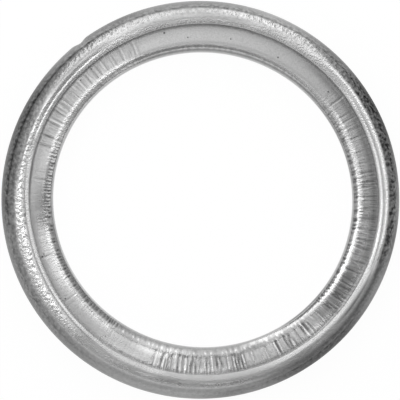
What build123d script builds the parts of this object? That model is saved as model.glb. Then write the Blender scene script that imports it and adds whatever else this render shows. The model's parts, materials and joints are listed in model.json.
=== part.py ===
"""Folded sheet metal sealing ring for a drain plug, in millimetres.

One strip of soft sheet runs all the way round the hollow section. It starts as a
domed flange at the top of the bore, turns down into the bore wall, runs outwards
as the flat seat, rises round the outer bead and comes back over the top. There it
ends in a lip that is pressed down on the flange, which leaves an annular seam.

The origin is the centre of the seat's plane, and +Z is the axis of the bore.
"""

import os
from math import asin, cos, degrees, radians, sin, sqrt

from build123d import *

# The plug that the ring seals
thread_diameter = 16.0
thread_clearance = 0.05

# Overall section of the ring
section_width = 2.7
ring_height = 2.3
sheet_thickness = 0.35

# Bends of the sheet, measured on the inside of each bend
rim_bend = 0.02
rim_top_bend = 0.45
rim_top_angle = 20.0
foot_bend = 0.2
bead_bend = 0.33
wall_bulge = 0.15

# Top of the bead: a narrow flat land, then the lip that dips to the seam
land_width = 0.1
lip_bend = 0.2
lip_angle = 18.0
lip_length = 0.27
lip_rounding = 0.2
seam_gap = 0.02

# Flange that lies under the lip
flange_dome_radius = 3.2
flange_tuck = 0.35

# Witness line that the closing die leaves round the shoulder of the bead
witness_angle = 38.0
witness_width = 0.07

# Small nick in the outer wall, as an angle from +X towards +Y
nick_angle = 128.0
nick_depth = 0.09
nick_width = 0.95

# The sheet is drawn by its middle line, so that each bend grows by half a sheet
half_sheet = sheet_thickness / 2
rim_radius = rim_bend + half_sheet
rim_top_radius = rim_top_bend + half_sheet
foot_radius = foot_bend + half_sheet
bead_radius = bead_bend + half_sheet
lip_radius = lip_bend + half_sheet

bore_radius = thread_diameter / 2 + thread_clearance
outer_radius = bore_radius + section_width
bore_wall_x = bore_radius + half_sheet
foot_end_x = bore_wall_x + foot_radius
bead_x = outer_radius - half_sheet - bead_radius - wall_bulge

# The rim turns tightly out of the bore wall, then gently into the flange
rim_top_turn = radians(rim_top_angle)
rim_x = bore_wall_x + rim_radius * (1 - sin(rim_top_turn)) + rim_top_radius * sin(rim_top_turn)
rim_rise = rim_radius * cos(rim_top_turn) + rim_top_radius * (1 - cos(rim_top_turn))

# The bowed wall is an arc that meets the two bead bends in line with them
bend_rise = ring_height / 2 - half_sheet - bead_radius
wall_radius = bead_radius + wall_bulge / 2 + bend_rise**2 / (2 * wall_bulge)
wall_half_angle = degrees(asin(bend_rise / (wall_radius - bead_radius)))

# The lip's lower corner is what presses on the flange
lip_turn_angle = radians(lip_angle)
lip_start = Vector(
    bead_x - land_width - lip_radius * sin(lip_turn_angle),
    ring_height - half_sheet - lip_radius * (1 - cos(lip_turn_angle)),
)
lip_end = lip_start - Vector(cos(lip_turn_angle), sin(lip_turn_angle)) * lip_length
across_lip = Vector(sin(lip_turn_angle), -cos(lip_turn_angle)) * half_sheet
lip_foot = lip_end + across_lip
lip_crown = lip_end - across_lip

# Height of the flange's middle line where it is highest, beside the rim bend
dome_reach = lip_foot.X - rim_x
dome_outside = flange_dome_radius + half_sheet
dome_drop = dome_outside - sqrt(dome_outside**2 - dome_reach**2)
flange_height = lip_foot.Y - seam_gap + dome_drop - half_sheet
flange_sweep = degrees(asin((dome_reach + flange_tuck) / flange_dome_radius))

# Centre of the witness line on the outside of the upper bead bend
bead_outside = bead_radius + half_sheet
witness_point = (
    bead_x + bead_outside * cos(radians(witness_angle)),
    ring_height - bead_outside + bead_outside * sin(radians(witness_angle)),
)

# A round tool of this radius leaves a nick of that depth and width
nick_sagitta = nick_depth - (outer_radius - sqrt(outer_radius**2 - (nick_width / 2) ** 2))
nick_radius = ((nick_width / 2) ** 2 + nick_sagitta**2) / (2 * nick_sagitta)

# Sealing ring
with BuildPart() as sealing_ring:
    with BuildSketch(Plane.XZ) as section:
        with BuildLine():
            seat = Line((foot_end_x, half_sheet), (bead_x, half_sheet))
            lower_bead = JernArc(seat @ 1, (1, 0), bead_radius, 90 - wall_half_angle)
            wall = JernArc(lower_bead @ 1, lower_bead % 1, wall_radius, 2 * wall_half_angle)
            upper_bead = JernArc(wall @ 1, wall % 1, bead_radius, 90 - wall_half_angle)
            land = Line(upper_bead @ 1, (bead_x - land_width, ring_height - half_sheet))
            lip_turn = JernArc(land @ 1, (-1, 0), lip_radius, lip_angle)
            Line(lip_turn @ 1, lip_end)
            foot = JernArc(seat @ 0, (-1, 0), foot_radius, -90)
            bore_wall = Line(foot @ 1, (bore_wall_x, flange_height - rim_rise))
            rim = JernArc(bore_wall @ 1, (0, 1), rim_radius, rim_top_angle - 90)
            rim_top = JernArc(rim @ 1, rim % 1, rim_top_radius, -rim_top_angle)
            JernArc(rim_top @ 1, (1, 0), flange_dome_radius, -flange_sweep)
        trace(line_width=sheet_thickness)
        fillet(section.vertices().sort_by_distance(lip_crown)[0], lip_rounding)
        with Locations(witness_point):
            Circle(witness_width / 2, mode=Mode.SUBTRACT)
    revolve(axis=Axis.Z)
    with PolarLocations(outer_radius - nick_depth + nick_radius, 1, start_angle=nick_angle):
        Cylinder(
            nick_radius,
            ring_height,
            align=(Align.CENTER, Align.CENTER, Align.MIN),
            mode=Mode.SUBTRACT,
        )
sealing_ring.part.label = "sealing_ring"

os.makedirs("parts", exist_ok=True)
export_step(sealing_ring.part, "parts/sealing_ring.step")
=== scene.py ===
"""Drain plug sealing ring, folded from one strip of soft sheet metal.

The section of the folded sheet is drawn once and spun round the bore. The functions
after that give the ring the marks of its making: a bore that stands off centre, a
wavering lip, draw marks, a die line, a toothed rim, pits and a nick. They also paint
light and shade into its colour: shade in marks and creases, highlights on ridges, and
lighter and darker stretches round the ring.

Lengths are in metres. Angles round the ring are in degrees, clockwise from +Y as seen
from above, and +Y is the top of the picture.
"""

import json
from math import asin, atan2, cos, degrees, pi, radians, sin, sqrt

import bmesh
import bpy
import numpy as np
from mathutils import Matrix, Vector


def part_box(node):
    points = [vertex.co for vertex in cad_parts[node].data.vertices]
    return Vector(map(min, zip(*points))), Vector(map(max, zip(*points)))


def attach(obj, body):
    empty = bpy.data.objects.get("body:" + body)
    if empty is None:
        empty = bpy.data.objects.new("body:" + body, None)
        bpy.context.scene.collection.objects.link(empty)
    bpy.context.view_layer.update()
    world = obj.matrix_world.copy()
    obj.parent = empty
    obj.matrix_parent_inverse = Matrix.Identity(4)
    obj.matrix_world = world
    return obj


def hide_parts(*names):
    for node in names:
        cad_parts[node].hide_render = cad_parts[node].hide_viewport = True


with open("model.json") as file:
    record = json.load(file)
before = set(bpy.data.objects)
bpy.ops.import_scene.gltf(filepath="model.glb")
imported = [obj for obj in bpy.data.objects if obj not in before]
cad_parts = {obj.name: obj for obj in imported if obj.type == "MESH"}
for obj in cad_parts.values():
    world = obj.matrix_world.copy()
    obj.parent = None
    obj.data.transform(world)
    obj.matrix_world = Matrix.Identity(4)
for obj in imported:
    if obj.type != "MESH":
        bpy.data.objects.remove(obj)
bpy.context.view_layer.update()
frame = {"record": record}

MM = 0.001

# Sizes of the ring, from the frame
ring_low, ring_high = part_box("sealing_ring")
ring_height = ring_high.z
outer_radius = ring_high.x
bore = next(mount for mount in frame["record"]["mounts"] if mount["name"] == "bore")
bore_radius = bore["dims"]["r_mm"] * MM

# Folded sheet
sheet = 0.35 * MM
rim_bend = 0.01 * MM
rim_top_radius = 0.8 * MM
rim_top_angle = 20.0
foot_bend = 0.2 * MM
bead_bend = 0.33 * MM
wall_bulge = 0.15 * MM

# Flange, which turns over a crest beside the rim and then slopes down under the lip. The
# fall is the slope's mean, in degrees
crest_radius = 1.1 * MM
crest_angle = 6.0
slope_radius = 9.0 * MM
slope_length = 1.05 * MM
slope_fall = 9.0

# Top of the bead, from its highest line inwards: a rounded crest, a riser, a ledge and the end
crown_radius = 0.25 * MM
riser_angle = 34.0
riser_length = 0.065 * MM
riser_foot_radius = 0.05 * MM
ledge_angle = 10.0
ledge_length = 0.11 * MM
lip_rounding = 0.18 * MM
seam_gap = 0.02 * MM

# Steps round the ring. The section has about 65 points, which keeps the piece light
# enough, and a spin of one sector with turned copies is far quicker than one long spin
spin_sectors = 12
steps_per_sector = 126
weld_distance = 0.0005 * MM
sharp_angle = 60.0

# How far the ring is out of true. The outer wall stays round: the shift grows from just
# inside it, and the bore's own shift and oval shape reach a little way past the rim
bore_shift = 0.127 * MM
lip_shift = 0.157 * MM
shift_from_wall = 0.1 * MM
shift_growth = 0.8 * MM
bore_oval = 0.07 * MM
bore_oval_angle = 107.0
bore_closed = 0.03 * MM
bore_reach = 1.2 * MM
bore_fade = 1.0 * MM
lip_waver = 0.006 * MM

# Along one stretch the rim stands lower, so that the flange is less steep: start, end and
# soft degrees at each end. It sets in above a height, and fades away towards a radius
lowered_stretch = (130, 270, 24)
rim_lowered = 0.22 * MM
lowered_above = 0.8 * MM
lowered_rise = 0.8 * MM
lowered_out_to = 9.45 * MM
lowered_width = 0.85 * MM

# Nick in the outer wall
nick_angle = 322.5
nick_half_width = 2.6
nick_depth = 0.09 * MM

# Every list of stretches round the ring holds start, end, soft degrees at each end, strength

# The step is pressed into one round curve along two stretches
pressed_stretches = [(114, 232, 22, 1), (319, 46, 22, 1)]
pressed_radius = 1.9 * MM

# The riser's foot is creased under a raised ledge. Painted shade darkens the crease, and along
# two stretches the whole foot
crease_depth = 0.005 * MM
crease_stretches = [(293, 326, 8, 1)]
crease_painted_shade = 0.45
ledge_raised = 0.016 * MM
ledge_stretches = [(290, 325, 8, 1)]
foot_painted_shade = [(60, 112, 16, 0.5), (218, 278, 16, 0.6)]

# How far the step lies outwards of its place: angle, distance
step_places = [
    (0, 0.035 * MM), (20, 0.0 * MM), (60, -0.04 * MM), (86, -0.02 * MM), (105, -0.01 * MM),
    (130, -0.02 * MM), (205, -0.04 * MM), (236, -0.15 * MM), (258, -0.155 * MM),
    (272, -0.08 * MM), (284, -0.03 * MM), (300, 0.005 * MM), (315, -0.005 * MM),
    (332, 0.02 * MM), (360, 0.035 * MM),
]

# How much of that each part of the step takes: place outwards of the crest, share
step_shares = [(-0.5 * MM, 0.8), (-0.2 * MM, 1), (0.2 * MM, 0)]

# Witness line of the die round the shoulder, as degrees above the level of the bend's centre.
# It is darkened with painted shade
witness_angle = 45.0
witness_reach = 5.0
witness_depth = 0.01 * MM
witness_width = 0.06 * MM
witness_painted_shade = 1.1
witness_stretches = [(276, 330, 12, 1), (326, 62, 12, 0.45), (60, 112, 10, 0.3)]

# Stain and painted shade on the outer half of the shoulder and the wall, which dull and
# darken it, more along some stretches and less at the top: how strong it is, and in
# millimetres how far it starts from the crest
stain_and_shade_level = 0.62
stain_and_shade_strengths = [(48, 156, 20, 0.38), (262, 306, 16, 0.30), (52, 108, 14, 0.2)]
stain_and_shade_thinned = [(314, 38, 16, 0.25)]
dulling_from_crest = 0.17
dulling_edges = [(314, 38, 16, 0.26), (44, 112, 12, -0.06), (276, 302, 14, -0.13), (160, 262, 24, 0.12)]
wall_stain_and_shade = [
    (35, 84, 16, 0.28), (126, 176, 18, 0.38), (212, 324, 20, 0.32), (332, 14, 16, 0.26),
]
crest_stain_and_shade = [(112, 216, 24, 0.42)]

# Orange peel on the shoulder and on the step. Its dents also get painted glints in the colour
shoulder_peel_level = 0.15
shoulder_peel = [(4, 108, 20, 0.85), (228, 4, 24, 0.5)]
step_peel = [(232, 296, 16, 0.9), (325, 48, 24, 0.2)]

# Polish and painted light on the step, the inner half of the shoulder, the rim and the flange.
# The painted light makes their colour lighter, on the step less at the top and bottom and more
# at the left and right
step_dimmed = [(111, 226, 16, 0.9), (325, 33, 14, 1)]
step_brightened = [(232, 300, 16, 0.7), (50, 108, 10, 0.7)]
shoulder_polish_and_light = [(6, 38, 12, 1), (322, 350, 12, 0.5)]
burnished_and_lit_rim = [(288, 332, 12, 1)]
rim_polish_and_light = [(52, 160, 12, 1)] + burnished_and_lit_rim
inner_flange_polish_and_light = [(186, 268, 24, 0.3)]
flange_polish_and_light = [(140, 218, 16, 0.35)]
gleam_polish = 2.4

# Patches of polish and dulling that paint light and shade into the colour: mark in the
# section, start and end from it, start and end angle, soft stretch in degrees, and polish,
# which paints light where it is positive and is dull with painted shade where it is negative
finish_and_light_patches = [
    ("shoulder", -0.06 * MM, 0.22 * MM, 228, 284, 20, 0.9),
    ("shoulder", -0.02 * MM, 0.20 * MM, 160, 214, 14, 0.9),
    ("shoulder", -0.20 * MM, 0.20 * MM, 338, 14, 14, -0.25),
    ("shoulder", -0.12 * MM, 0.14 * MM, 305, 328, 10, -0.55),
    ("shoulder", 0.10 * MM, 0.30 * MM, 290, 306, 10, 0.5),
    ("shoulder", -0.12 * MM, -0.02 * MM, 84, 130, 10, -0.5),
    ("ledge", -0.12 * MM, 0.06 * MM, 262, 300, 12, 0.9),
    ("ledge", -0.30 * MM, 0.20 * MM, 284, 340, 10, 1.1),
    ("ledge", -0.14 * MM, 0.12 * MM, 158, 192, 14, -0.3),
    ("ledge", -0.12 * MM, 0.12 * MM, 34, 52, 8, -0.3),
    ("ledge", 0.06 * MM, 0.16 * MM, 228, 252, 12, -0.3),
    ("riser", 0.02 * MM, 0.22 * MM, 240, 300, 12, 0.35),
    ("riser", -0.02 * MM, 0.20 * MM, 122, 152, 12, -0.3),
    ("riser", -0.02 * MM, 0.20 * MM, 214, 236, 12, -0.3),
    ("flange", 0.40 * MM, 0.68 * MM, 40, 84, 16, -0.45),
    ("flange", 0.40 * MM, 0.66 * MM, 84, 100, 12, -0.55),
    ("flange", 0.55 * MM, 0.95 * MM, 172, 216, 12, 0.7),
    ("flange", 0.0 * MM, 0.55 * MM, 186, 204, 8, 0.4),
    ("flange", 0.62 * MM, 0.95 * MM, 350, 40, 16, -0.12),
    ("flange", 0.66 * MM, 0.95 * MM, 236, 266, 14, -0.4),
    ("flange", -0.10 * MM, 0.60 * MM, 238, 266, 14, 1.0),
    ("flange", 0.0 * MM, 0.30 * MM, 292, 326, 12, 0.25),
    ("shoulder", -0.04 * MM, 0.05 * MM, 44, 104, 8, 0.9),
    ("riser", -0.04 * MM, 0.08 * MM, 294, 322, 8, 0.8),
    ("flange", 0.05 * MM, 0.50 * MM, 64, 96, 12, 0.5),
    ("flange", 0.05 * MM, 0.55 * MM, 96, 112, 8, 1.6),
    ("flange", 0.45 * MM, 0.95 * MM, 113, 142, 8, 1.4),
    ("flange", -0.32 * MM, -0.10 * MM, 334, 50, 12, 1.8),
    ("flange", -0.44 * MM, -0.32 * MM, 334, 50, 12, -0.2),
    ("flange", -0.06 * MM, 0.08 * MM, 336, 50, 12, -0.12),
    ("flange", -0.16 * MM, 0.06 * MM, 250, 276, 12, 1.3),
    ("flange", -0.36 * MM, -0.14 * MM, 262, 300, 12, 1.2),
    ("flange", -0.44 * MM, -0.20 * MM, 268, 336, 12, 1.5),
    ("flange", 0.40 * MM, 0.80 * MM, 278, 348, 12, -0.16),
    ("flange", -0.16 * MM, 0.12 * MM, 216, 250, 12, 0.8),
    ("flange", -0.36 * MM, -0.20 * MM, 100, 130, 8, 1.0),
    ("flange", -0.20 * MM, -0.02 * MM, 62, 126, 10, 1.2),
    ("flange", -0.28 * MM, -0.10 * MM, 108, 130, 8, 1.2),
    ("flange", -0.26 * MM, -0.04 * MM, 286, 336, 10, 1.8),
    ("flange", -0.40 * MM, -0.14 * MM, 218, 250, 12, -0.3),
    ("flange", -0.44 * MM, -0.28 * MM, 126, 164, 8, 1.8),
    ("flange", -0.24 * MM, 0.0 * MM, 138, 164, 8, -0.5),
    ("flange", -0.32 * MM, 0.30 * MM, 186, 204, 8, 0.8),
    ("flange", -0.74 * MM, -0.50 * MM, 50, 80, 10, -0.35),
    ("flange", -0.74 * MM, -0.50 * MM, 126, 146, 8, -0.45),
    ("flange", -0.74 * MM, -0.50 * MM, 216, 252, 12, 0.6),
    ("wall", 0.0 * MM, 0.80 * MM, 172, 214, 20, -0.2),
    ("wall", 0.0 * MM, 0.80 * MM, 322, 340, 12, -0.3),
    ("wall", 0.0 * MM, 0.60 * MM, 24, 44, 10, -0.2),
    ("wall", 0.05 * MM, 0.80 * MM, 264, 290, 12, 0.3),
    ("wall", 0.05 * MM, 0.80 * MM, 72, 96, 10, 0.5),
]

# Draw marks on the flange: angle, half width in degrees, depth in millimetres. Their cuts
# are made deeper than that, and painted shade darkens each mark by its depth, fully at the
# depth given next
cut_deepened = 1.4
fully_shaded_depth = 0.032
draw_marks = [
    (53.5, 0.35, 0.010), (59.2, 0.3, 0.009), (61.2, 0.3, 0.010), (65.0, 0.3, 0.006),
    (67.9, 0.35, 0.013), (73.0, 0.3, 0.006), (77.0, 0.3, 0.008), (80.6, 0.35, 0.014),
    (83.8, 0.4, 0.015), (85.4, 0.35, 0.014), (89.0, 0.3, 0.010), (92.9, 0.35, 0.014),
    (96.8, 0.35, 0.018), (100.4, 0.35, 0.014), (104.1, 0.35, 0.014), (107.1, 0.4, 0.015),
    (109.6, 0.3, 0.012), (111.8, 0.4, 0.021), (115.4, 0.4, 0.021), (118.6, 0.4, 0.016),
    (120.3, 0.4, 0.018), (121.9, 0.4, 0.018), (123.5, 0.35, 0.015), (125.5, 0.42, 0.024),
    (127.6, 0.3, 0.008), (130.2, 0.4, 0.019), (134.6, 0.35, 0.012), (139.9, 0.35, 0.018),
    (141.1, 0.35, 0.018), (142.4, 0.4, 0.021), (145.0, 0.3, 0.008), (147.9, 0.4, 0.022),
    (149.5, 0.38, 0.018), (152.9, 0.4, 0.014), (157.0, 0.35, 0.008), (162.0, 0.3, 0.007),
    (165.9, 0.35, 0.016), (167.2, 0.35, 0.019), (168.3, 0.3, 0.016), (169.3, 0.35, 0.018),
    (171.5, 0.3, 0.008), (173.9, 0.38, 0.021), (175.3, 0.32, 0.017), (178.5, 0.4, 0.012),
    (180.6, 0.35, 0.012), (183.5, 0.42, 0.024), (186.2, 0.38, 0.016), (188.3, 0.4, 0.022),
    (191.5, 0.42, 0.021), (194.1, 0.4, 0.019), (197.2, 0.3, 0.010), (214.5, 0.25, 0.003),
    (233.6, 0.3, 0.003), (250.2, 0.3, 0.004), (277.0, 0.3, 0.006), (288.8, 0.3, 0.013),
    (292.2, 0.38, 0.020), (295.2, 0.35, 0.011), (296.8, 0.35, 0.011), (298.6, 0.3, 0.008),
    (300.8, 0.35, 0.015), (303.2, 0.38, 0.014), (305.1, 0.38, 0.014), (307.0, 0.3, 0.010),
    (308.8, 0.38, 0.015), (311.0, 0.3, 0.009), (313.8, 0.35, 0.011), (316.4, 0.3, 0.008),
    (319.3, 0.35, 0.014), (321.1, 0.35, 0.013), (324.0, 0.3, 0.007), (327.3, 0.35, 0.012),
    (330.4, 0.3, 0.009), (333.0, 0.3, 0.006), (335.4, 0.35, 0.009),
]

# Raised draw marks with a painted highlight between two flanks darkened with painted shade:
# angle, half width in degrees, strength
bright_height = 0.008 * MM
flank_painted_shade = 0.65
bright_marks = [
    (53.9, 0.3, 0.35), (61.7, 0.3, 0.2), (72.7, 0.3, 0.2), (125.4, 0.36, 1.0), (130.0, 0.34, 0.8),
    (134.6, 0.3, 0.45), (140.0, 0.3, 0.7), (142.0, 0.38, 1.0), (147.7, 0.38, 1.0),
    (149.2, 0.3, 0.6), (152.3, 0.34, 0.6), (153.6, 0.3, 0.55), (157.3, 0.3, 0.3),
    (162.3, 0.3, 0.3), (165.8, 0.3, 0.9), (167.1, 0.3, 1.0), (168.2, 0.3, 0.9), (169.2, 0.3, 0.9),
    (171.2, 0.3, 0.4), (174.2, 0.4, 1.1), (176.9, 0.3, 0.5), (178.2, 0.3, 0.6), (179.4, 0.3, 0.5),
    (183.5, 0.42, 1.2), (186.2, 0.36, 0.9), (188.2, 0.36, 0.9), (191.7, 0.36, 1.0),
    (194.0, 0.36, 1.0), (196.8, 0.3, 0.4), (295.4, 0.3, 0.3), (297.8, 0.3, 0.25),
    (303.2, 0.36, 0.55), (305.1, 0.34, 0.6), (308.9, 0.34, 0.4), (311.0, 0.3, 0.3),
    (313.5, 0.34, 0.45), (317.2, 0.3, 0.25), (323.1, 0.3, 0.25), (327.0, 0.34, 0.45),
    (331.2, 0.3, 0.2), (335.8, 0.3, 0.3),
]

# Fine marks between them, darkened with painted shade like the draw marks: start, end,
# degrees from mark to mark, depth in millimetres
fine_fields = [
    (50, 82, 1.1, 0.003),
    (82, 132, 0.8, 0.005),
    (132, 198, 0.9, 0.005),
    (198, 288, 3.5, 0.0015),
    (288, 338, 0.8, 0.004),
]
fine_half_width = 0.22

# Fine streaks in the finish of the flange
streak_fields = [
    (48, 80, 6, 0.3), (80, 134, 6, 0.7), (134, 162, 6, 0.4), (162, 198, 6, 0.7),
    (198, 288, 6, 0.12), (288, 340, 6, 0.5), (340, 48, 6, 0.05),
]

# Grey along one stretch of the flange, dark blots below the rim's bright line, and painted
# highlight dots along it
flange_greying = [(116.5, 124.5, 2, 0.12)]
rim_blots = [(286, 222, 12, 0.3), (50, 222, 12, 0.15)]
rim_highlight_dots = [(140, 216, 8, 0.8)]

# Tooth marks on the rim bend: start, end, degrees apart, distance down the bend from the
# flange, depth. The bites are darkened with painted shade, and between two teeth a ridge at
# the flange gets a painted highlight
tooth_fields = [
    (56, 132, 1.45, 0.35 * MM, 0.03 * MM),
    (214, 292, 1.18, 0.28 * MM, 0.045 * MM),
]
tooth_half_width = 0.33
tooth_length = 0.10 * MM
tooth_painted_shade = 1.1
tooth_ridge_place = 0.02 * MM
tooth_ridge_length = 0.07 * MM

# Pits in the faces that look up, darkened with painted shade: angle, radius, half width, depth
pit_painted_shade = 0.8
pits = [
    (265.0, 9.76 * MM, 0.06 * MM, 0.03 * MM),
    (262.6, 9.78 * MM, 0.05 * MM, 0.025 * MM),
    (252.0, 9.86 * MM, 0.04 * MM, 0.015 * MM),
    (281.5, 10.10 * MM, 0.05 * MM, 0.02 * MM),
]

# Spots on the flange: angle, radius, size
spots = [
    (347.8, 9.20 * MM, 0.07 * MM), (10.7, 8.82 * MM, 0.05 * MM), (28.6, 8.74 * MM, 0.06 * MM),
    (250.2, 9.05 * MM, 0.06 * MM), (250.9, 8.92 * MM, 0.05 * MM), (233.8, 9.02 * MM, 0.05 * MM),
    (214.9, 8.96 * MM, 0.05 * MM), (49.8, 9.02 * MM, 0.06 * MM), (320.2, 9.18 * MM, 0.06 * MM),
    (315.0, 9.12 * MM, 0.05 * MM), (355.6, 8.78 * MM, 0.05 * MM),
]

# Finish of the sheet: its shade and roughness where nothing marks it, how fine the patterns
# are, and how high they stand
sheet_shade = 0.62
sheet_roughness = 0.27
streak_scale = 95.0
streak_crossings = 18.0
dent_scale = 5600.0
grain_scale = 14000.0
cloud_scale = 700.0
peel_height = 0.07 * MM
grain_height = 0.018 * MM
streak_height = 0.05 * MM

# Floor, which glows white where the camera or a reflection sees it
white = (1, 1, 1, 1)
floor_colour = (0.9, 0.9, 0.9, 1)
floor_half_width = 0.6
floor_gap = 0.005 * MM
floor_glow = 1.03
floor_glow_share = 0.93

# Studio light: name, place, width and depth, aim, and what a mirror would show of it
world_strength = 0.2
softboxes = [
    ("overhead_softbox", (-0.0125, 0.0305, 0.07), (0.075, 0.065), (-0.0125, 0.0305, 0), 1.0),
    ("upper_left_softbox", (-0.03, 0.006, 0.068), (0.04, 0.05), (-0.03, 0.006, 0), 0.45),
    ("left_softbox", (-0.075, -0.005, 0.045), (0.08, 0.05), (0, 0, 0), 0.4),
    ("back_softbox", (0, 0.09, 0.045), (0.11, 0.08), (0, 0, 0.01), 0.9),
    ("front_softbox", (-0.015, -0.07, 0.045), (0.11, 0.085), (0, 0, 0), 0.55),
    ("right_softbox", (0.065, 0.01, 0.055), (0.07, 0.07), (0, 0, 0), 0.55),
]

# The photograph's frame: 400 pixels across, and the ring's centre beside the picture's
frame_pixels = 400
ring_pixels = 398.1
ring_centre_pixels = (0.34, 0.15)
camera_lens = 600.0


class Pen:
    """Draws the section as one line of vertices, in the plane of X and Z."""

    def __init__(self, mesh, x, z, heading):
        self.mesh = mesh
        self.run = mesh.verts.layers.float.new("run")
        self.heading = heading
        self.drawn = 0.0
        self.marks = {}
        self.tip = mesh.verts.new((x, 0, z))

    def direction(self, turned=0.0):
        angle = radians(self.heading + turned)
        return Vector((cos(angle), 0, sin(angle)))

    def measure(self, length, steps):
        """Writes on each new vertex how far along the section it lies."""
        self.mesh.verts.ensure_lookup_table()
        for step, vertex in enumerate(self.mesh.verts[-steps:], 1):
            vertex[self.run] = self.drawn + length * step / steps
        self.drawn += length
        self.tip = self.mesh.verts[-1]

    def mark(self, name):
        self.marks[name] = self.drawn

    def straight(self, length, steps=1):
        for _ in range(steps):
            made = bmesh.ops.extrude_vert_indiv(self.mesh, verts=[self.tip])
            self.tip = made["verts"][0]
            self.tip.co += self.direction() * length / steps
        self.measure(length, steps)

    def bend(self, radius, angle, steps):
        """Bends to the left where the angle is positive."""
        centre = self.tip.co + self.direction(90) * (radius if angle > 0 else -radius)
        bmesh.ops.spin(
            self.mesh, geom=[self.tip], cent=centre, axis=(0, -1, 0), dvec=(0, 0, 0),
            angle=radians(angle), steps=steps, use_merge=False, use_duplicate=False,
        )
        self.measure(radius * abs(radians(angle)), steps)
        self.heading += angle

    def corner(self, angle):
        self.heading += angle

    def reach(self, place, steps=1):
        """Draws a straight line to a place."""
        way = place - self.tip.co
        self.heading = degrees(atan2(way.z, way.x))
        self.straight(way.length, steps)


def slope(angle):
    """Direction of a line that rises outwards by an angle."""
    return Vector((cos(radians(angle)), 0, sin(radians(angle))))


def draw_section(mesh):
    """Draws the closed outline of the folded sheet, and returns where each stretch starts."""
    bead_outside = bead_bend + sheet
    rise = ring_height / 2 - bead_outside
    wall_outside = bead_outside + wall_bulge / 2 + rise**2 / (2 * wall_bulge)
    wall_half = degrees(asin(rise / (wall_outside - bead_outside)))
    bead_x = outer_radius - wall_bulge - bead_outside
    rim_side = (rim_bend + sheet) * (1 - sin(radians(rim_top_angle)))
    rim_x = bore_radius + rim_side + rim_top_radius * sin(radians(rim_top_angle))
    rim_rise = (rim_bend + sheet) * cos(radians(rim_top_angle))
    rim_rise += rim_top_radius * (1 - cos(radians(rim_top_angle)))
    foot_x = bore_radius + foot_bend + sheet

    # The top of the bead is worked out inwards from its highest line
    centre = Vector((bead_x, 0, ring_height - crown_radius))
    riser_top = centre - crown_radius * slope(riser_angle - 90)
    riser_foot = riser_top - riser_length * slope(riser_angle)
    centre = riser_foot + riser_foot_radius * slope(riser_angle + 90)
    ledge_end = centre + riser_foot_radius * slope(ledge_angle - 90)
    lip_top = ledge_end - ledge_length * slope(ledge_angle)
    lip_foot = lip_top - lip_rounding * slope(ledge_angle) + sheet * slope(ledge_angle - 90)

    # The flange's height follows from the lip that presses on it
    crest_reach = crest_radius * sin(radians(crest_angle))
    crest_drop = crest_radius * (1 - cos(radians(crest_angle)))
    slope_drop = (lip_foot.x - rim_x - crest_reach) * sin(radians(slope_fall))
    crest = lip_foot.z - seam_gap + crest_drop + slope_drop
    slope_angle = degrees(slope_length / slope_radius)
    wall_height = crest - rim_rise - foot_bend - sheet

    pen = Pen(mesh, bore_radius, foot_bend + sheet, 90)
    pen.straight(wall_height)
    pen.mark("rim")
    pen.bend(rim_bend + sheet, rim_top_angle - 90, 6)
    pen.bend(rim_top_radius, -rim_top_angle, 3)
    pen.mark("flange")
    pen.bend(crest_radius, -crest_angle, 2)
    pen.bend(slope_radius, -slope_angle, 4)
    pen.mark("flange_end")

    # The hidden skin, which lies inside the hollow, is drawn with few faces
    pen.corner(-90)
    pen.straight(sheet)
    pen.corner(-90)
    pen.bend(slope_radius - sheet, slope_angle, 1)
    pen.bend(crest_radius - sheet, crest_angle, 1)
    pen.bend(rim_top_radius - sheet, rim_top_angle, 1)
    pen.bend(rim_bend, 90 - rim_top_angle, 1)
    pen.straight(wall_height)
    pen.bend(foot_bend, 90, 1)
    pen.straight(bead_x - foot_x)
    pen.bend(bead_bend, 90 - wall_half, 1)
    pen.bend(wall_outside - sheet, 2 * wall_half, 2)
    pen.bend(bead_bend, 90 - wall_half, 1)
    pen.reach(lip_foot)
    pen.mark("lip_foot")

    pen.reach(lip_top - lip_rounding * (slope(ledge_angle) + slope(ledge_angle + 90)))
    pen.mark("lip")
    pen.bend(lip_rounding, -90, 5)
    pen.mark("ledge")
    pen.straight(ledge_length, 2)
    pen.bend(riser_foot_radius, riser_angle - ledge_angle, 2)
    pen.mark("riser")
    pen.straight(riser_length)
    pen.bend(crown_radius, -riser_angle, 4)
    pen.mark("shoulder")
    pen.bend(bead_outside, witness_angle + witness_reach - 90, 6)
    pen.bend(bead_outside, -witness_reach, 1)
    pen.mark("witness")
    pen.bend(bead_outside, -witness_reach, 1)
    pen.bend(bead_outside, wall_half + witness_reach - witness_angle, 3)
    pen.mark("wall")
    pen.bend(wall_outside, -2 * wall_half, 5)
    pen.bend(bead_outside, wall_half - 90, 2)
    pen.mark("seat")
    pen.straight(bead_x - foot_x)
    pen.bend(foot_bend + sheet, -90, 2)
    pen.mark("end")
    return pen.marks


def smooth(value):
    """Eases a value from 0 to 1, flat at both ends."""
    value = np.clip(value, 0, 1)
    return value * value * (3 - 2 * value)


def hump(value, centre, width):
    return np.exp(-(((value - centre) / width) ** 2))


def window(value, start, end, soft):
    """1 between start and end, easing to 0 over a soft stretch at each."""
    return smooth((value - start) / soft + 0.5) * smooth((end - value) / soft + 0.5)


def apart(angle, centre):
    """Degrees from one angle to another, by the shorter way round."""
    return (angle - centre + 180) % 360 - 180


def sector(angle, start, end, soft):
    """1 clockwise from start to end, easing to 0 over a soft stretch at each."""
    half = (end - start) % 360 / 2
    return smooth((half - np.abs(apart(angle, start + half))) / soft + 0.5)


def spread(angle, stretches):
    """Adds up the strengths of the stretches that an angle lies in."""
    return sum(strength * sector(angle, *stretch) for *stretch, strength in stretches)


def waver(angle, waves, seed):
    """A smooth wandering value from about -1 to 1 that closes round the ring."""
    chance = np.random.default_rng(seed)
    total = sum(
        np.sin(np.radians(angle) * count + chance.uniform(0, 2 * pi)) for count in waves
    )
    return total / sqrt(len(waves))


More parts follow.
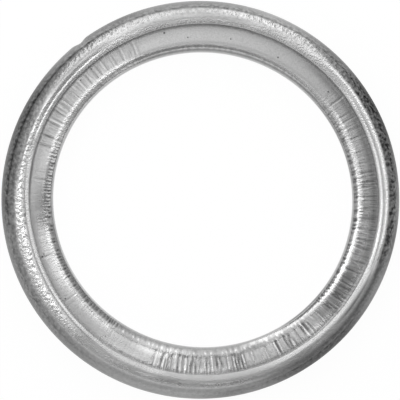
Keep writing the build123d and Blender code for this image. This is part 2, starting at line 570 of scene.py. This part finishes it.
class Surface:
    """Where each vertex lies, how far it moves along its normal, and what its finish and its painted
    light and shade are.
    """

    def __init__(self, points, run, marks):
        self.angle = np.degrees(np.arctan2(points[:, 0], points[:, 1])) % 360
        self.outward = np.stack([np.sin(np.radians(self.angle)), np.cos(np.radians(self.angle))], 1)
        self.radius = np.hypot(points[:, 0], points[:, 1])
        self.height = points[:, 2].copy()
        self.run = run
        self.marks = marks
        self.chance = np.random.default_rng(5)
        self.moves, self.dirt, self.gleam, self.dull, self.polished = np.zeros((5, len(run)))

    def stretch(self, first_mark, first, last_mark, last, soft=0.1 * MM):
        """1 from beside one mark in the section to beside another, easing to 0 at each."""
        start = self.marks[first_mark] + first
        return window(self.run, start, self.marks[last_mark] + last, soft)

    def line(self, mark, beyond, width):
        """1 on a line beside a mark in the section, fading away on both sides of it."""
        return hump(self.run, self.marks[mark] + beyond, width)

    def near(self, at, reach):
        """Which vertices lie within so many degrees of an angle, and how far off they are."""
        off = apart(self.angle, at)
        near = np.abs(off) < reach
        return near, off[near]

    def flange(self):
        return self.stretch("flange", -0.1 * MM, "flange_end", 0)


def flange_cuts(chance):
    """The draw marks and the fine marks between them: angle, half width, depth."""
    cuts = list(draw_marks)
    for start, end, spacing, depth in fine_fields:
        for at in np.arange(start, end, spacing):
            at = at + chance.uniform(-0.5, 0.5) * spacing
            width = fine_half_width * chance.uniform(0.7, 1.4)
            cuts.append((at, width, depth * chance.uniform(0.3, 1.5)))
    return cuts


def raise_bright_marks(surface):
    """Raises the bright draw marks with a painted highlight, and paints shade on both their flanks.
    """
    for at, width, strength in bright_marks:
        first = surface.marks["flange"] + surface.chance.uniform(-0.1, 0.2) * MM
        last = surface.marks["flange_end"] - surface.chance.uniform(0.25, 0.6) * MM
        near, off = surface.near(at, 5 * width)
        length = window(surface.run[near], first, last, 0.12 * MM)
        ridge = strength * hump(off, 0, width) * length
        flanks = hump(off, -2 * width, 0.8 * width) + hump(off, 2 * width, 0.8 * width)
        # Painted highlight on the ridge, and painted shade on its flanks
        surface.gleam[near] += ridge
        surface.moves[near] += bright_height * ridge
        surface.dirt[near] += flank_painted_shade * strength * flanks * length


def score_flange(surface):
    """Draw marks run from the rim bend to the seam, darkened with painted shade, and one stretch of
    the flange is greyed.
    """
    cuts = flange_cuts(surface.chance)
    raise_bright_marks(surface)
    for at, width, depth in cuts:
        first = surface.marks["flange"] + surface.chance.uniform(-0.05, 0.12) * MM
        last = surface.marks["flange"] + surface.chance.uniform(0.5, 0.95) * MM
        near, off = surface.near(at, 4 * width)
        cut = depth * hump(off, 0, width) * window(surface.run[near], first, last, 0.15 * MM)
        surface.moves[near] -= cut_deepened * cut * MM
        # Painted shade in the cut, by its depth
        surface.dirt[near] += cut / fully_shaded_depth
    surface.dirt += spread(surface.angle, flange_greying) * surface.flange()


def bite_rim(surface):
    """Teeth bite the rim bend, with painted shade in the bites and a painted highlight on the ridges
    between them at the flange.
    """
    chance = surface.chance
    flange = surface.marks["flange"]
    for start, end, spacing, below, depth in tooth_fields:
        for at in np.arange(start, end, spacing):
            at = at + chance.uniform(-0.3, 0.3) * spacing
            deep = chance.uniform(0.3, 1.2)
            place = flange - below + chance.uniform(-0.04, 0.04) * MM
            near, off = surface.near(at, 4 * tooth_half_width)
            run = surface.run[near]
            bite = deep * hump(off, 0, tooth_half_width) * hump(run, place, tooth_length)
            surface.moves[near] -= depth * bite
            surface.dirt[near] += tooth_painted_shade * bite
            ridge = hump(off, spacing / 2, tooth_half_width)
            ridge = ridge * hump(run, flange + tooth_ridge_place, tooth_ridge_length)
            surface.gleam[near] += chance.uniform(0, 1.1) * ridge


def blot_and_highlight_rim(surface):
    """Dark blots lie below the rim's bright line, and painted highlight dots where the draw marks
    start.
    """
    blots = smooth(0.6 * waver(surface.angle, range(50, 190, 11), 9) + 0.3)
    blots = blots * surface.line("flange", -0.3 * MM, 0.1 * MM)
    surface.dirt += blots * spread(surface.angle, rim_blots)
    dots = smooth(0.9 * waver(surface.angle, range(90, 260, 13), 12))
    dots = dots * surface.line("flange", -0.21 * MM, 0.07 * MM)
    surface.gleam += dots * spread(surface.angle, rim_highlight_dots)


def shape_lip(surface):
    """The lip wavers; its riser's foot is creased under a raised ledge and darkened with painted
    shade.
    """
    angle = surface.angle
    lip = surface.stretch("lip", 0, "shoulder", 0)
    surface.moves += lip_waver * lip * waver(angle, range(9, 40, 4), 6)
    foot = surface.line("riser", -0.01 * MM, 0.05 * MM)
    broken = smooth(waver(angle, range(60, 150, 7), 3) + 0.4)
    crease = foot * broken * spread(angle, crease_stretches)
    ledge_start = surface.line("ledge", 0.01 * MM, 0.06 * MM)
    surface.moves += ledge_raised * ledge_start * spread(angle, ledge_stretches)
    surface.moves -= crease_depth * crease
    # Painted shade in the crease and along the foot
    surface.dirt += crease_painted_shade * crease + foot * spread(angle, foot_painted_shade)


def mark_shoulder(surface):
    """The witness line, darkened with painted shade, fades out along the lower half, and the nick
    flattens the wall.
    """
    strength = spread(surface.angle, witness_stretches)
    strength = strength * (0.8 + 0.2 * waver(surface.angle, range(40, 120, 9), 8))
    line = strength * surface.line("witness", 0, witness_width)
    surface.moves -= witness_depth * line
    # Painted shade along the witness line
    surface.dirt += witness_painted_shade * line
    nicked = smooth(1 - np.abs(apart(surface.angle, nick_angle)) / nick_half_width)
    surface.moves -= nick_depth * nicked * surface.stretch("wall", 0, "seat", 0, 0.5 * MM)


def pit_top(surface):
    """Pits mark the faces that look up, darkened with painted shade."""
    upper = surface.height > ring_height / 2
    for at, place, width, depth in pits:
        around = np.radians(apart(surface.angle, at)) * surface.radius
        pit = hump(around, 0, width) * hump(surface.radius, place, width) * upper
        surface.moves -= depth * pit
        surface.dirt += pit_painted_shade * pit


def stain_and_shade_outside(surface, dulling_start):
    """Dulls the outer half of the shoulder, the wall, and the bead's crest along the bottom, which
    are partly stained and partly darkened with painted shade.
    """
    angle = surface.angle
    outer_darkening = window(surface.run, dulling_start, surface.marks["seat"], 0.12 * MM)
    outer_darkening = outer_darkening * (stain_and_shade_level + spread(angle, stain_and_shade_strengths))
    surface.dull += outer_darkening * (1 - spread(angle, stain_and_shade_thinned))
    wall = surface.stretch("witness", -0.02 * MM, "seat", 0, 0.12 * MM)
    surface.dull += wall * spread(angle, wall_stain_and_shade)
    crest = surface.stretch("shoulder", -0.2 * MM, "shoulder", 0.2 * MM)
    surface.dull += crest * spread(angle, crest_stain_and_shade)


def polish_and_light_inside(surface, dulling_start, rim):
    """Polishes the step, the inner half of the shoulder, the rim and the flange, and lightens their
    colour with painted light and with the painted highlights of the marks.
    """
    angle, run, marks = surface.angle, surface.run, surface.marks
    step = surface.stretch("ledge", -0.12 * MM, "shoulder", 0.05 * MM, 0.08 * MM)
    step = step * (1 - spread(angle, step_dimmed)) * (1 + spread(angle, step_brightened))
    shoulder = window(run, marks["shoulder"] + 0.1 * MM, dulling_start, 0.1 * MM)
    inner_flange = smooth((marks["flange_end"] - 0.3 * MM - run) / (0.8 * MM))
    inner_flange = inner_flange * (run > marks["flange"])
    surface.polished += step + rim * spread(angle, rim_polish_and_light)
    surface.polished += shoulder * spread(angle, shoulder_polish_and_light)
    surface.polished += inner_flange * spread(angle, inner_flange_polish_and_light)
    surface.polished += surface.flange() * spread(angle, flange_polish_and_light)
    surface.polished += gleam_polish * surface.gleam


def finish_and_light_masks(surface):
    """The masks that the sheet's material reads, by name: its finish, and painted light and shade."""
    angle = surface.angle
    dulling_start = surface.marks["shoulder"] + (dulling_from_crest + spread(angle, dulling_edges)) * MM
    rim = surface.stretch("rim", 0.25 * MM, "flange", 0.05 * MM)
    stain_and_shade_outside(surface, dulling_start)
    polish_and_light_inside(surface, dulling_start, rim)
    # Each patch paints light into the colour where it is positive, and shade where it is negative
    for mark, first, last, start, end, soft, lightening in finish_and_light_patches:
        patch = surface.stretch(mark, first, mark, last, 0.08 * MM) * sector(angle, start, end, soft)
        if lightening > 0:
            surface.polished += lightening * patch
        else:
            surface.dull -= lightening * patch

    shoulder = surface.stretch("shoulder", 0.1 * MM, "wall", 0.3 * MM)
    step = surface.stretch("riser", 0, "shoulder", 0.1 * MM)
    peel = shoulder * (shoulder_peel_level + spread(angle, shoulder_peel))
    peel += step * spread(angle, step_peel)
    satin = surface.stretch("rim", 0, "flange_end", 0)
    satin = satin * (1 - 0.8 * rim * spread(angle, burnished_and_lit_rim))
    return {
        "drawn": surface.flange() * spread(angle, streak_fields),
        "peel": peel,
        "dull": surface.dull,
        "dirt": np.clip(surface.dirt, 0, 1),
        "polished": surface.polished,
        "satin": satin,
    }


def move_step(points, surface):
    """Presses the step round along two stretches, and moves it in or out round the ring."""
    run, marks = surface.run, surface.marks
    crest = outer_radius - wall_bulge - bead_bend - sheet
    reach = np.clip(crest - surface.radius, 0, pressed_radius)
    curve = ring_height - pressed_radius + np.sqrt(pressed_radius**2 - reach**2)
    lift = spread(surface.angle, pressed_stretches) * (curve - points[:, 2])
    along = (run - marks["lip"]) / (marks["ledge"] - marks["lip"])
    points[:, 2] += lift * smooth(2 * along) * (run <= marks["shoulder"])

    shift = np.interp(surface.angle, *zip(*step_places))
    shift = shift * np.interp(surface.radius - crest, *zip(*step_shares))
    shift = shift * ((run >= marks["lip_foot"]) & (run <= marks["wall"]))
    points[:, :2] += surface.outward * shift[:, None]


def ring_out_of_true(points, surface):
    """Lowers the rim along one stretch, shifts the bore and the seam, and makes the bore oval."""
    radius = surface.radius
    lowered = sector(surface.angle, *lowered_stretch)
    lowered = lowered * smooth((points[:, 2] - lowered_above) / lowered_rise)
    points[:, 2] -= rim_lowered * lowered * np.clip((lowered_out_to - radius) / lowered_width, 0, 1)

    inside = smooth((outer_radius - shift_from_wall - radius) / shift_growth)
    near_bore = smooth((bore_radius + bore_reach - radius) / bore_fade)
    points[:, 0] += inside * (lip_shift + (bore_shift - lip_shift) * near_bore)
    oval = bore_oval * np.cos(2 * np.radians(surface.angle - bore_oval_angle)) - bore_closed
    points[:, :2] += surface.outward * (oval * near_bore)[:, None]


def spin_section():
    """Spins the section round the bore, and returns the ring's mesh and the section's marks."""
    bm = bmesh.new()
    marks = draw_section(bm)
    bmesh.ops.remove_doubles(bm, verts=bm.verts[:], dist=weld_distance)
    sector_angle = 2 * pi / spin_sectors
    bmesh.ops.spin(
        bm, geom=bm.verts[:] + bm.edges[:], cent=(0, 0, 0), axis=(0, 0, 1), dvec=(0, 0, 0),
        angle=sector_angle, steps=steps_per_sector, use_merge=False, use_duplicate=False,
    )
    bmesh.ops.spin(
        bm, geom=bm.verts[:] + bm.edges[:] + bm.faces[:], cent=(0, 0, 0), axis=(0, 0, 1),
        dvec=(0, 0, 0), angle=2 * pi - sector_angle, steps=spin_sectors - 1, use_merge=False,
        use_duplicate=True,
    )
    bmesh.ops.remove_doubles(bm, verts=bm.verts[:], dist=weld_distance)
    bmesh.ops.recalc_face_normals(bm, faces=bm.faces[:])
    mesh = bpy.data.meshes.new("sealing_ring_sheet")
    bm.to_mesh(mesh)
    bm.free()
    return mesh, marks


def read_vectors(mesh, name):
    values = np.empty(len(mesh.vertices) * 3)
    mesh.vertices.foreach_get(name, values)
    return values.reshape(-1, 3)


def make_ring():
    """Makes the round ring, and gives it the marks of its making."""
    mesh, marks = spin_section()
    points = read_vectors(mesh, "co")
    normals = read_vectors(mesh, "normal")
    run = np.empty(len(points))
    mesh.attributes["run"].data.foreach_get("value", run)

    surface = Surface(points, run, marks)
    score_flange(surface)
    bite_rim(surface)
    blot_and_highlight_rim(surface)
    shape_lip(surface)
    mark_shoulder(surface)
    pit_top(surface)
    masks = finish_and_light_masks(surface)

    move_step(points, surface)
    points += normals * surface.moves[:, None]
    ring_out_of_true(points, surface)
    mesh.vertices.foreach_set("co", points.ravel())
    for name, values in masks.items():
        attribute = mesh.attributes.new(name, "FLOAT", "POINT")
        attribute.data.foreach_set("value", values.astype(np.float32))
    mesh.shade_smooth()
    mesh.set_sharp_from_angle(angle=radians(sharp_angle))
    mesh.update()

    ring = bpy.data.objects.new("sealing_ring_sheet", mesh)
    bpy.context.scene.collection.objects.link(ring)
    return ring


class Term:
    """A value in a material. Arithmetic on it adds Math nodes."""

    def __init__(self, recipe, socket):
        self.recipe = recipe
        self.socket = socket

    def maths(self, operation, first, second):
        return self.recipe.node("ShaderNodeMath", {"operation": operation}, {0: first, 1: second})

    def beside(self, name):
        """Another output of the same node."""
        return Term(self.recipe, self.socket.node.outputs[name])

    def __add__(self, other):
        return self.maths("ADD", self, other)

    def __sub__(self, other):
        return self.maths("SUBTRACT", self, other)

    def __rsub__(self, other):
        return self.maths("SUBTRACT", other, self)

    def __mul__(self, other):
        return self.maths("MULTIPLY", self, other)

    def __truediv__(self, other):
        return self.maths("DIVIDE", self, other)

    def __pow__(self, other):
        return self.maths("POWER", self, other)

    __radd__ = __add__
    __rmul__ = __mul__


class Recipe:
    """A material, and the one method that adds a node to it."""

    def __init__(self, name):
        self.material = bpy.data.materials.new(name)
        self.material.use_nodes = True
        self.tree = self.material.node_tree
        self.tree.nodes.clear()

    def node(self, kind, settings=None, inputs=None, output=0):
        made = self.tree.nodes.new(kind)
        for name, value in (settings or {}).items():
            if name == "stops":
                self.set_stops(made.color_ramp.elements, value)
            else:
                setattr(made, name, value)
        for name, value in (inputs or {}).items():
            if isinstance(value, Term):
                self.tree.links.new(value.socket, made.inputs[name])
            else:
                made.inputs[name].default_value = value
        return Term(self, made.outputs[output])

    def set_stops(self, elements, stops):
        while len(elements) < len(stops):
            elements.new(1.0)
        for element, (place, grey) in zip(elements, stops):
            element.position = place
            element.color = (grey, grey, grey, 1)

    def ramp(self, value, *stops):
        return self.node("ShaderNodeValToRGB", {"stops": stops}, {"Fac": value})

    def attribute(self, name):
        return self.node("ShaderNodeAttribute", {"attribute_name": name}, output="Fac")

    def noise(self, vector, scale, detail=2.0, roughness=0.5):
        return self.node(
            "ShaderNodeTexNoise",
            {"noise_dimensions": "3D"},
            {"Vector": vector, "Scale": scale, "Detail": detail, "Roughness": roughness},
            "Fac",
        )

    def finish(self, shader):
        made = self.tree.nodes.new("ShaderNodeOutputMaterial")
        self.tree.links.new(shader.socket, made.inputs["Surface"])
        return self.material


def sheet_metal():
    """Soft bright sheet: satin on the flange, peeled on the shoulder, dulled on the wall, with
    painted light, shade and glints from its masks.
    """
    recipe = Recipe("sheet_metal")
    place = recipe.node("ShaderNodeTexCoord", output="Object")
    x = recipe.node("ShaderNodeSeparateXYZ", inputs={0: place})
    y = x.beside("Y")
    z = x.beside("Z")
    radius = (x * x + y * y) ** 0.5
    around = recipe.node(
        "ShaderNodeCombineXYZ",
        inputs={0: x / radius, 1: y / radius, 2: (radius + z) * streak_crossings},
    )
    flat = recipe.node("ShaderNodeCombineXYZ", inputs={0: x, 1: y, 2: 0.0})
    drawn = recipe.attribute("drawn")
    peel = recipe.attribute("peel")
    dull = recipe.attribute("dull")
    dirt = recipe.attribute("dirt")
    polished = recipe.attribute("polished")
    satin = recipe.attribute("satin")

    # Each pattern swings about 0, so that it leaves the mean shade alone
    streaks = recipe.noise(around, streak_scale, 2.0, 0.6) - 0.5
    dents = recipe.noise(place, dent_scale, 1.0, 0.5)
    dimples = recipe.ramp(dents, (0.36, 0), (0.64, 1)) - 0.5
    grains = recipe.noise(place, grain_scale, 2.0, 0.6) - 0.5
    clouds = recipe.noise(place, cloud_scale, 3.0, 0.6) - 0.5

    shade = sheet_shade + 0.12 * clouds + 0.25 * streaks * drawn
    # Stain and painted shade darken the dulled zones
    shade = shade * (1 - 0.60 * dull - 0.26 * satin)
    # The dimples' tone on the orange peel is painted glints of its dents
    # The polish mask lightens the colour with painted light as well as polish
    shade = shade + 0.20 * dimples * peel + 0.035 * dimples * dull + 0.18 * polished
    shade = shade + grains * (0.15 + 0.13 * satin + 0.12 * peel)
    # Painted shade in creases, cuts, bites, pits and on flanks, with the dark blots and grey
    shade = shade * (1 - 0.75 * dirt)
    for at, distance, size in spots:
        middle = (distance * sin(radians(at)), distance * cos(radians(at)), 0)
        offset = recipe.node(
            "ShaderNodeVectorMath", {"operation": "DISTANCE"}, {0: flat, 1: middle}, "Value"
        )
        shade = shade * recipe.ramp(offset / size, (0.4, 0.15), (1.1, 1.0))
    colour = recipe.node("ShaderNodeCombineColor", inputs={0: shade, 1: shade, 2: shade})

    roughness = sheet_roughness + 0.12 * clouds + 0.05 * grains
    roughness = roughness + 0.20 * dull - 0.08 * polished + 0.05 * satin
    height = (
        peel_height * (dents - 0.5) * peel
        + grain_height * grains * (1 - 0.6 * satin)
        + streak_height * streaks * drawn
    )
    bump = recipe.node(
        "ShaderNodeBump", inputs={"Strength": 1.0, "Distance": 1.0, "Height": height}
    )
    shader = recipe.node(
        "ShaderNodeBsdfPrincipled",
        inputs={"Base Color": colour, "Metallic": 1.0, "Roughness": roughness, "Normal": bump},
    )
    return recipe.finish(shader)


def pale_floor():
    """White to the camera and in reflections, with a faint shadow of the ring."""
    recipe = Recipe("pale_floor")
    matt = recipe.node("ShaderNodeBsdfDiffuse", inputs={"Color": floor_colour})
    glow = recipe.node("ShaderNodeEmission", inputs={"Color": white, "Strength": floor_glow})
    camera = recipe.node("ShaderNodeLightPath", output="Is Camera Ray")
    seen = camera + camera.beside("Is Glossy Ray") + camera.beside("Is Transmission Ray")
    shader = recipe.node("ShaderNodeMixShader", inputs={0: seen * floor_glow_share, 1: matt, 2: glow})
    return recipe.finish(shader)


def make_floor():
    bm = bmesh.new()
    bmesh.ops.create_grid(bm, x_segments=1, y_segments=1, size=floor_half_width)
    bmesh.ops.translate(bm, verts=bm.verts[:], vec=(0, 0, ring_low.z - floor_gap))
    mesh = bpy.data.meshes.new("floor")
    bm.to_mesh(mesh)
    bm.free()
    mesh.materials.append(pale_floor())
    floor = bpy.data.objects.new("floor", mesh)
    bpy.context.scene.collection.objects.link(floor)


def soft_lamp(name, place, size, aim, brightness):
    """An area lamp that faces the aim. Brightness is what a mirror would show of it."""
    lamp = bpy.data.lights.new(name, "AREA")
    lamp.shape = "RECTANGLE"
    lamp.size, lamp.size_y = size
    lamp.energy = brightness * pi * size[0] * size[1]
    holder = bpy.data.objects.new(name, lamp)
    holder.location = place
    holder.visible_camera = False
    holder.rotation_euler = (Vector(aim) - Vector(place)).to_track_quat("-Z", "Y").to_euler()
    bpy.context.scene.collection.objects.link(holder)


def light_scene():
    world = bpy.data.worlds.new("studio")
    bpy.context.scene.world = world
    world.use_nodes = True
    background = world.node_tree.nodes["Background"]
    background.inputs["Color"].default_value = white
    background.inputs["Strength"].default_value = world_strength
    for softbox in softboxes:
        soft_lamp(*softbox)


def make_camera():
    pixel = 2 * outer_radius / ring_pixels
    lens = bpy.data.cameras.new("camera")
    lens.lens = camera_lens
    distance = pixel * frame_pixels * camera_lens / lens.sensor_width
    lens.clip_start = distance / 100
    lens.clip_end = distance * 10
    camera = bpy.data.objects.new("camera", lens)
    camera.location = (
        -ring_centre_pixels[0] * pixel,
        -ring_centre_pixels[1] * pixel,
        distance + ring_height / 2,
    )
    bpy.context.scene.collection.objects.link(camera)
    bpy.context.scene.camera = camera


ring = make_ring()
ring.data.materials.append(sheet_metal())
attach(ring, "root")
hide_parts("sealing_ring")

make_floor()
light_scene()
make_camera()
bpy.context.scene.view_settings.view_transform = "Standard"
